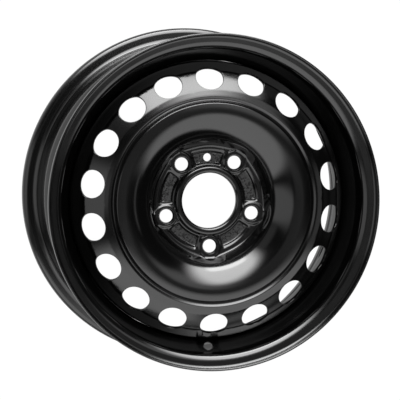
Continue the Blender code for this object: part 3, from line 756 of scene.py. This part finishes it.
def make_disc(disc, holes, rim):
    """The disc: rows all round it, a ring of vent windows, and a ring of bolt and pad windows."""
    surface = DiscSurface(disc, holes, rim)
    profile = surface.profile
    sheet = Sheet(surface)
    whole = degrees(180, 180)
    turned_over = profile.nearest(surface.skirt - disc.sheet / 2, surface.skirt_edge)
    vent_centre = surface.ledge_end + holes.vent_from_ledge
    hub = surface.collar_end + HUB_INSET, surface.zone_radius - HUB_OUTSET
    sides = [
        [profile.nearest(r, None, *span) for r in (*hub, vent_centre - inwards, vent_centre + outwards)]
        for span, (inwards, outwards) in (((0, turned_over), VENT_NEAR), ((turned_over,), VENT_FAR))
    ]
    near, far = sides
    plain = (
        (0, near[0], NEAR_STEP),
        (near[1], near[2], NEAR_STEP),
        (near[3], far[3], FAR_STEP),
        (far[2], far[1], FAR_STEP),
        (far[0], profile.end, NEAR_STEP),
    )
    for low, high, step in plain:
        sheet.patch(profile.rows(low, high, step), whole)

    vent_rows = matched_rows(profile, (near[2], near[3]), (far[3], far[2]), NEAR_STEP)
    level = surface.ledge_level - holes.vent_from_ledge * math.tan(holes.vent_tilt)
    pitch = 360 // holes.vents
    for k in range(holes.vents):
        middle = 90 + k * pitch
        punch = Punch(middle * DEGREE, vent_centre, level, holes.vent_tilt)
        window = degrees(middle, pitch / 2)
        sheet.pierce(vent_rows, window, punch, [holes.vent_hole / 2] * 2, holes.edge)

    hub_rows = matched_rows(profile, (near[0], near[1]), (far[1], far[0]), HUB_STEP)
    half = 180 // holes.bolts // 2
    hole = holes.bolt_hole / 2
    mouth = hole + (disc.sheet - holes.seat_land) * math.tan(holes.seat_cone / 2)
    back_level = disc.hub_face + disc.hub_level + holes.boss_rise
    pad_middle = (surface.pad_inner + surface.pad_outer) / 2
    for k in range(holes.bolts):
        middle = -90 + k * 4 * half
        punch = Punch(middle * DEGREE, surface.bolt_radius, back_level, 0)
        window = degrees(middle, half)
        sheet.pierce(hub_rows, window, punch, (mouth, hole), holes.fine_edge, holes.seat_land)
        pad = degrees(middle + 2 * half, half)
        if k != holes.bolts // 2:
            sheet.patch(hub_rows[0], pad)
            sheet.patch(hub_rows[1], pad)
            continue
        punch = Punch((middle + 2 * half) * DEGREE, pad_middle, disc.hub_face, 0)
        radii = [holes.locating_hole / 2] * 2
        sheet.pierce(hub_rows, pad, punch, radii, holes.fine_edge, rings=LOCATING_RINGS)
    return sheet.build("pressed_disc")


def make_bead(weld, disc_surface, number, count):
    """One fillet bead: a quarter section swept round the axle line and drawn to a point at both ends.

    The radius from the fillet's root is that of a straight fillet plus a crown, times the taper
    (1 - t^4)^(1/2), plus ripples that bow along the bead as a weld pool's do.
    """
    root_r, root_z = disc_surface.skirt, disc_surface.skirt_edge - disc_surface.disc.gap
    middle = math.pi / 2 + (number - 0.5) * math.tau / count
    half = weld.run / 2 / root_r
    t = np.linspace(-1, 1, BEAD_STEPS)[:, None]
    arc = np.linspace(0, math.pi / 2, BEAD_ARC)
    leg = np.linspace(0, 1, BEAD_LEG + 1)[:-1]
    psi = np.concatenate([0 * leg, arc, 0 * leg + math.pi / 2])
    share = np.concatenate([leg, np.ones_like(arc), leg[::-1]])
    straight = weld.leg / (np.cos(psi) + np.sin(psi))
    waves = t * weld.run / 2 / weld.ripple_pitch - RIPPLE_BOW * np.sin(2 * psi)
    ripple = weld.ripple * np.sin(2 * psi) * np.sin(math.tau * waves)
    taper = np.sqrt(np.clip(1 - t**4, 0, 1))
    reach = share * taper * (straight + weld.crown * np.sin(2 * psi) + ripple)
    sheet = Sheet(None)
    turn = middle + half * t + 0 * psi
    sheet.hoops(turned_point(root_r - reach * np.cos(psi), root_z - reach * np.sin(psi), turn))
    return sheet.build(f"fillet_bead_{number}")


def add(tree, kind, inputs=None, **options):
    """Add a node, set its options, and set or link its inputs."""
    node = tree.nodes.new(kind)
    for name, value in options.items():
        setattr(node, name, value)
    for name, value in (inputs or {}).items():
        if isinstance(value, bpy.types.NodeSocket):
            tree.links.new(value, node.inputs[name])
        else:
            node.inputs[name].default_value = value
    return node


def maths(tree, operation, one, two=0.0):
    """The result of a maths node."""
    return add(tree, "ShaderNodeMath", {0: one, 1: two}, operation=operation).outputs[0]


def ramp(tree, value, span, ends=(0.0, 1.0), **options):
    """The first of ends up to the span's first value, the second past its last, and a ramp between."""
    inputs = dict(enumerate((value, *span, *ends)))
    return add(tree, "ShaderNodeMapRange", inputs, **options).outputs["Result"]


def noise(tree, place, size, detail):
    """A noise pattern whose patches are about this size."""
    inputs = {"Vector": place, "Scale": 1 / size, "Detail": detail}
    return add(tree, "ShaderNodeTexNoise", inputs).outputs["Fac"]


def empty_tree(owner):
    """The node tree of a material or a world, with nothing in it."""
    owner.use_nodes = True
    owner.node_tree.nodes.clear()
    return owner.node_tree


def coined_faces(tree, place, disc, holes):
    """1 on the pads, the faces that the press flattens hardest."""
    height = add(tree, "ShaderNodeSeparateXYZ", {0: place}).outputs["Z"]
    level = add(tree, "ShaderNodeVectorMath", {0: place, 1: (1, 1, 0)}, operation="MULTIPLY").outputs[0]
    radius = add(tree, "ShaderNodeVectorMath", {0: level}, operation="LENGTH").outputs["Value"]
    limit = holes.bolt_circle / 2 + holes.pad_outside
    inside = ramp(tree, radius, (limit, limit + COINED_REACH), (1.0, 0.0))
    apart = maths(tree, "ABSOLUTE", maths(tree, "SUBTRACT", height, disc.hub_face + disc.sheet))
    at_pads = ramp(tree, apart, (COINED_REACH, 2 * COINED_REACH), (1.0, 0.0))
    return maths(tree, "MULTIPLY", at_pads, inside)


def paint_film(name, look, roughness, coined=None):
    """Black electro-dip paint on steel: a dark film whose gloss shows only as reflections.

    Baking leaves a faint orange peel and slow changes of gloss over a hand's width. On coined
    faces, for which coined gives the disc and holes, it is dull and mottled. The index is above a
    paint's 1.5, so that reflections of plain light are as strong as in the photograph.
    """
    material = bpy.data.materials.new(name)
    tree = empty_tree(material)
    place = add(tree, "ShaderNodeTexCoord").outputs["Object"]
    ends = (1 - DRIFT) * roughness, (1 + DRIFT) * roughness
    gloss = ramp(tree, noise(tree, place, DRIFT_SIZE, 3.0), (0.3, 0.7), ends)
    if coined:
        ends = 0.5 * look.coined_roughness, 1.3 * look.coined_roughness
        dull = ramp(tree, noise(tree, place, look.mottle, 4.0), (0.42, 0.58), ends)
        faces = coined_faces(tree, place, *coined)
        gloss = add(tree, "ShaderNodeMix", {0: faces, 2: gloss, 3: dull}).outputs[0]
    peel = noise(tree, place, look.peel, 2.0)
    bump = add(tree, "ShaderNodeBump", {"Height": peel, "Strength": PEEL_STRENGTH, "Distance": PEEL_HEIGHT})
    shader = add(tree, "ShaderNodeBsdfPrincipled", {
        "Base Color": (*look.base, 1), "Roughness": gloss, "IOR": look.index, "Normal": bump.outputs[0],
    })
    add(tree, "ShaderNodeOutputMaterial", {"Surface": shader.outputs["BSDF"]})
    return material


def finish_piece(piece, material, node):
    """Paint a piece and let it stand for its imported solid."""
    piece.data.materials.append(material)
    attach(piece, "root")
    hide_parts(node)


class WHEEL_OT_rim(bpy.types.Operator):
    """Roll the drop-centre rim and punch its valve hole"""

    bl_idname = "wheel.rim"
    bl_label = "Rim"

    def execute(self, context):
        rim = make_rim(settings("rim"), settings("holes"))
        look = settings("paint")
        film = paint_film("black dip paint, gloss", look, look.rim_roughness)
        finish_piece(rim, film, RIM_NODE)
        return {"FINISHED"}


class WHEEL_OT_disc(bpy.types.Operator):
    """Press the disc and punch its bolt, locating and vent holes"""

    bl_idname = "wheel.disc"
    bl_label = "Disc"

    def execute(self, context):
        sizes = settings("disc"), settings("holes")
        disc = make_disc(*sizes, settings("rim"))
        look = settings("paint")
        film = paint_film("black dip paint, satin", look, look.disc_roughness, sizes)
        finish_piece(disc, film, DISC_NODE)
        return {"FINISHED"}


class WHEEL_OT_welds(bpy.types.Operator):
    """Lay the fillet beads between the disc's skirt and the drop centre"""

    bl_idname = "wheel.welds"
    bl_label = "Weld beads"

    def execute(self, context):
        look = settings("paint")
        film = paint_film("black dip paint over weld metal", look, look.disc_roughness)
        surface = DiscSurface(settings("disc"), settings("holes"), settings("rim"))
        for number, node in enumerate(WELD_NODES, 1):
            bead = make_bead(settings("weld"), surface, number, len(WELD_NODES))
            finish_piece(bead, film, node)
        return {"FINISHED"}


def make_camera(studio):
    """The camera at the photograph's angle: off the axle line by yaw and pitch, then rolled about it."""
    yaw, pitch = studio.yaw, studio.pitch
    back = Vector((-math.sin(yaw) * math.cos(pitch), math.sin(pitch), math.cos(yaw) * math.cos(pitch)))
    right = Vector((0, 1, 0)).cross(back).normalized()
    place = Matrix((right, back.cross(right), back)).transposed().to_4x4()
    place.translation = Vector((studio.target_x, studio.target_y, studio.target_z)) + back * studio.distance
    data = bpy.data.cameras.new("camera")
    data.lens = studio.lens
    camera = new_object("camera", data)
    camera.matrix_world = Matrix.Rotation(studio.roll, 4, "Z") @ place
    bpy.context.scene.camera = camera


def background_share(tree, glossy_share):
    """1 for camera rays, and a share of it for glossy and transmitted rays."""
    path = add(tree, "ShaderNodeLightPath").outputs
    seen = maths(tree, "MAXIMUM", path["Is Glossy Ray"], path["Is Transmission Ray"])
    return maths(tree, "MAXIMUM", path["Is Camera Ray"], maths(tree, "MULTIPLY", seen, glossy_share))


def make_floor(studio):
    """A grey matt floor that the camera sees as white, with a trace of the wheel's shadow."""
    mesh = bpy.data.meshes.new("floor")
    half, level = 6.0, RIM_LOW.z
    corners = [(-half, -half, level), (half, -half, level), (half, half, level), (-half, half, level)]
    mesh.from_pydata(corners, [], [(0, 1, 2, 3)])
    floor = new_object("floor", mesh)
    material = bpy.data.materials.new("grey floor")
    tree = empty_tree(material)
    matt = add(tree, "ShaderNodeBsdfDiffuse", {"Color": (*studio.backdrop, 1)})
    white = add(tree, "ShaderNodeEmission", {"Color": (1, 1, 1, 1), "Strength": FLOOR_WHITE})
    share = maths(tree, "MULTIPLY", background_share(tree, FLOOR_GLOSS), FLOOR_SHARE)
    mix = add(tree, "ShaderNodeMixShader", {0: share, 1: matt.outputs[0], 2: white.outputs[0]})
    add(tree, "ShaderNodeOutputMaterial", {"Surface": mix.outputs[0]})
    mesh.materials.append(material)


def panel_light(tree, way, panel):
    """A panel's brightness in a direction.

    Each edge lies in a plane through the wheel. The brightness is the product of one smoothstep for
    each edge, of the direction's sine above that plane.
    """
    light, softness, *corners = panel
    spots = [Vector((math.sin(b) * math.cos(a), math.sin(b) * math.sin(a), math.cos(b)))
             for a, b in (np.array(corners) * DEGREE)]
    middle = sum(spots, Vector())
    reach = math.sin(softness * DEGREE)
    for one, two in zip(spots, spots[1:] + spots[:1]):
        plane = one.cross(two).normalized()
        plane *= math.copysign(1, plane.dot(middle))
        sine = add(tree, "ShaderNodeVectorMath", {0: way, 1: plane}, operation="DOT_PRODUCT").outputs["Value"]
        inside = ramp(tree, sine, (-reach, reach), interpolation_type="SMOOTHSTEP")
        light = maths(tree, "MULTIPLY", inside, light)
    return light


def make_world():
    """A dark room with soft panels round the wheel, that the camera sees as white."""
    world = bpy.data.worlds.new("studio")
    bpy.context.scene.world = world
    tree = empty_tree(world)
    way = add(tree, "ShaderNodeTexCoord").outputs["Generated"]
    light = ROOM
    for panel in PANELS.values():
        light = maths(tree, "MAXIMUM", panel_light(tree, way, panel), light)
    dark = add(tree, "ShaderNodeBackground", {"Color": (1, 1, 1, 1), "Strength": light})
    white = add(tree, "ShaderNodeBackground", {"Color": (1, 1, 1, 1), "Strength": 1.0})
    share = background_share(tree, WORLD_GLOSS)
    mix = add(tree, "ShaderNodeMixShader", {0: share, 1: dark.outputs[0], 2: white.outputs[0]})
    add(tree, "ShaderNodeOutputWorld", {"Surface": mix.outputs[0]})


class WHEEL_OT_stage(bpy.types.Operator):
    """Set up the camera, the floor and the world with its soft panels"""

    bl_idname = "wheel.stage"
    bl_label = "Studio"

    def execute(self, context):
        studio = settings("studio")
        make_camera(studio)
        make_floor(studio)
        make_world()
        context.scene.view_settings.view_transform = "Standard"
        return {"FINISHED"}


class VIEW3D_PT_steel_wheel(bpy.types.Panel):
    """Sizes, looks and build steps of the wheel"""

    bl_label = "Steel Wheel"
    bl_space_type = "VIEW_3D"
    bl_region_type = "UI"
    bl_category = "Steel Wheel"

    def draw(self, context):
        for operator in OPERATORS:
            self.layout.operator(operator.bl_idname)
        for name, group in SETTINGS.items():
            box = self.layout.box()
            box.label(text=name.capitalize())
            for field in group.__annotations__:
                box.prop(settings(name), field)


OPERATORS = (WHEEL_OT_rim, WHEEL_OT_disc, WHEEL_OT_welds, WHEEL_OT_stage)


def register():
    for group in (*SETTINGS.values(), *OPERATORS, VIEW3D_PT_steel_wheel):
        bpy.utils.register_class(group)
    for name, group in SETTINGS.items():
        setattr(bpy.types.Scene, "wheel_" + name, PointerProperty(type=group))


def unregister():
    for name in SETTINGS:
        delattr(bpy.types.Scene, "wheel_" + name)
    for group in (VIEW3D_PT_steel_wheel, *OPERATORS, *SETTINGS.values()):
        bpy.utils.unregister_class(group)


def main():
    """Register the add-on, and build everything."""
    register()
    bpy.ops.wheel.rim()
    bpy.ops.wheel.disc()
    bpy.ops.wheel.welds()
    bpy.ops.wheel.stage()


if __name__ == "__main__":
    main()
